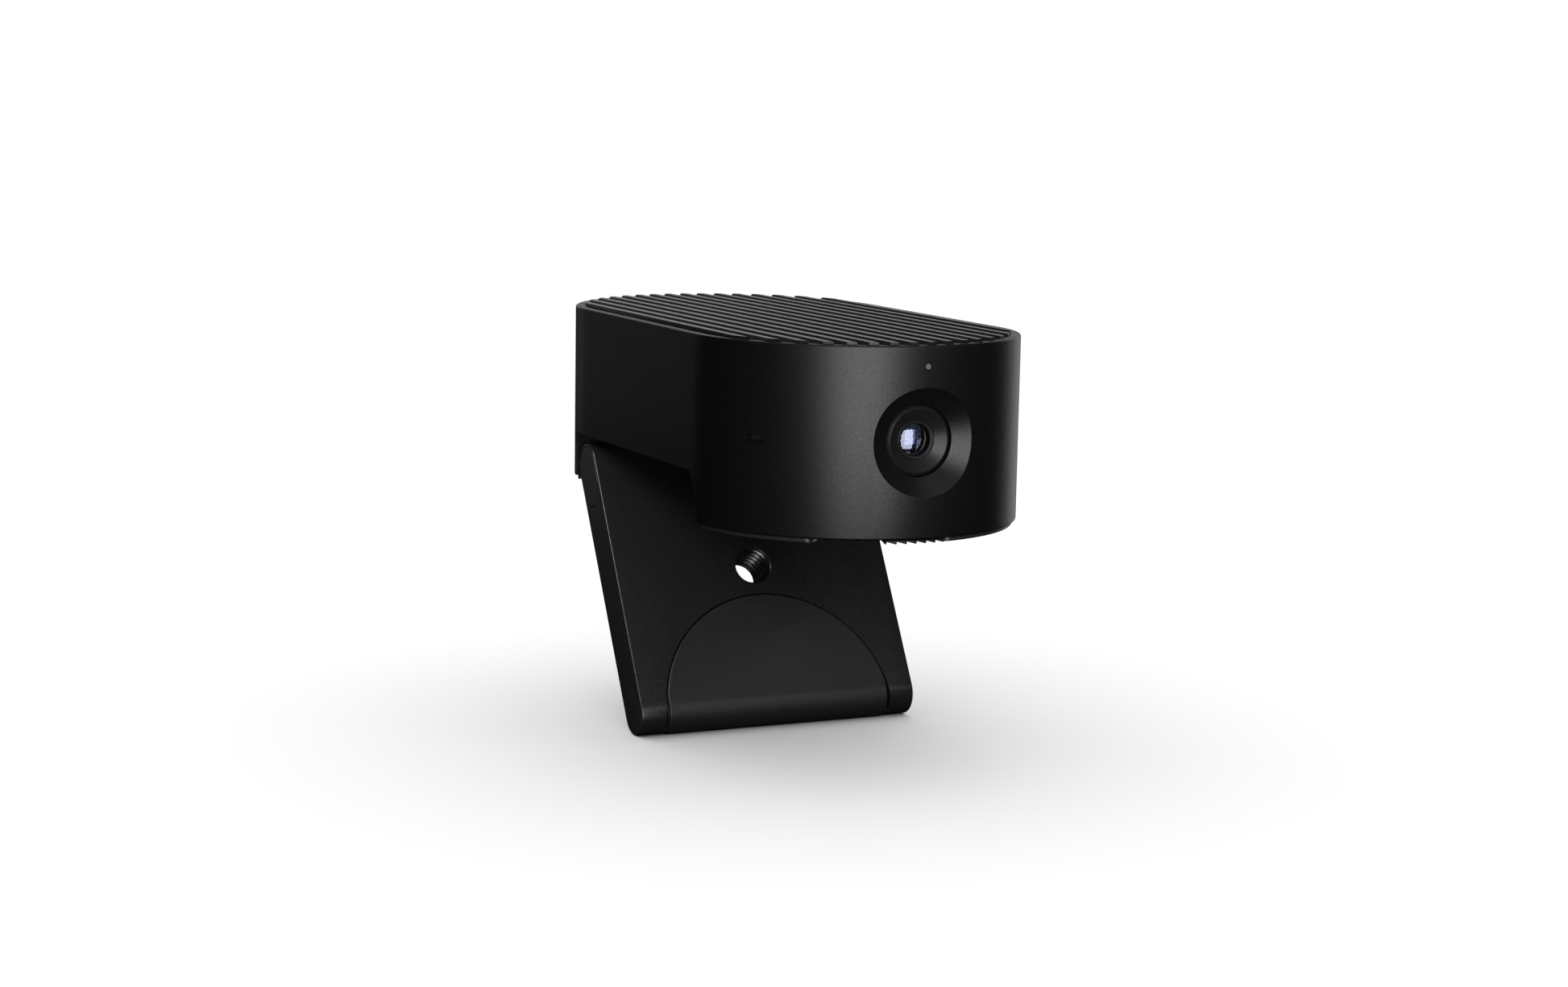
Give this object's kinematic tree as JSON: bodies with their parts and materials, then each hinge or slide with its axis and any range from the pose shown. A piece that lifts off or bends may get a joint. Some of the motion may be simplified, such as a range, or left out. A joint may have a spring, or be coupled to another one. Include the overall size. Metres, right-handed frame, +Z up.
{
  "type": "webcam on folding stand",
  "caption": "Compact stadium-shaped webcam with a finned top, a sliding lens cover and a folding leg with a tripod thread and a fold-out foot flap.",
  "frame": {"origin": "centre of the head's plan, on the ground under the foot", "axes": "+Z up, lens looks along -Y, +X to the right as seen from behind the lens looking along +Y"},
  "size_m": [0.054, 0.1002, 0.07],
  "materials": {
    "shell_black": "bead-blasted black anodised, satin",
    "sink_black": "black anodised, satin",
    "tray_black": "black anodised, satin",
    "plate_dark": "black anodised with a bright machined edge",
    "leg_black": "bead-blasted black anodised, satin",
    "soft_skin": "matte soft-touch rubber",
    "cap_black": "satin black",
    "insert_dark": "blackened steel",
    "pin_steel": "ground steel",
    "screw_steel": "blackened steel",
    "block_black": "black anodised, machined",
    "holder_black": "black anodised",
    "spreader_copper": "copper plate",
    "washer_brass": "turned brass",
    "magnet_nickel": "nickel plated",
    "bezel_black": "black anodised, turned",
    "barrel_black": "glossy black",
    "lens_glass": "coated optical glass",
    "filter_glass": "infrared filter glass",
    "inner_plastic": "matte black moulded",
    "sensor_dark": "glossy sensor package",
    "blade_black": "matte black film",
    "tab_black": "satin black moulded",
    "pipe_clear": "clear light guide",
    "lamp_white": "white lamp package",
    "gasket_rubber": "soft gasket",
    "can_steel": "tinned can",
    "board_green": "solder mask",
    "chip_black": "moulded package",
    "flex_film": "polyimide film",
    "pad_grey": "soft thermal pad",
    "socket_steel": "nickel plated steel"
  },
  "bodies": {
    "stand": {"leg_plate": "leg_black", "left_cap": "cap_black", "right_cap": "cap_black", "thread_insert": "insert_dark", "hinge_pin": "pin_steel", "hinge_washers": "washer_brass", "foot_pin": "pin_steel", "leg_magnet": "magnet_nickel"},
    "head": {"base_plate_front": "plate_dark", "base_plate_rear": "plate_dark", "base_screws": "screw_steel", "board_screws": "screw_steel", "cable_socket": "socket_steel", "cover_rail": "inner_plastic", "flex_cable": "flex_film", "flex_connectors": "inner_plastic", "front_lens": "lens_glass", "heat_sink": "sink_black", "hinge_block": "block_black", "hinge_screws": "screw_steel", "image_sensor": "sensor_dark", "ir_filter": "filter_glass", "lamp": "lamp_white", "lamp_board": "board_green", "lens_barrel": "holder_black", "lens_bezel": "bezel_black", "lens_holder": "holder_black", "lens_retainer": "barrel_black", "lens_spacer": "barrel_black", "light_pipe": "pipe_clear", "lower_tray": "tray_black", "main_board": "board_green", "memory_chips": "chip_black", "mic_board": "board_green", "mic_gasket": "gasket_rubber", "microphone": "can_steel", "middle_lens": "lens_glass", "power_coils": "chip_black", "processor": "chip_black", "rear_lens": "lens_glass", "sensor_board": "board_green", "sensor_spreader": "spreader_copper", "shell": "shell_black", "socket_tongue": "inner_plastic", "thermal_pad": "pad_grey"},
    "flap": {"flap_plate": "leg_black", "flap_skin": "soft_skin", "flap_keeper": "pin_steel"},
    "cover": {"shutter_blade": "blade_black", "slider_tab": "tab_black"}
  },
  "joints": [
    {"name": "head_tilt", "type": "hinge", "parent": "stand", "child": "head", "pos_m": [0, 0.02668, 0.04242], "axis": [-1, 0, 0], "range_deg": [-36, 35]},
    {"name": "flap_fold", "type": "hinge", "parent": "stand", "child": "flap", "pos_m": [0, 0.0041, 0.00385], "axis": [1, 0, 0], "range_deg": [0, 120]},
    {"name": "cover_slide", "type": "hinge", "parent": "head", "child": "cover", "pos_m": [0, -0.0231, 0.05493], "axis": [0, 0, -1], "range_deg": [0, 23]}
  ]
}
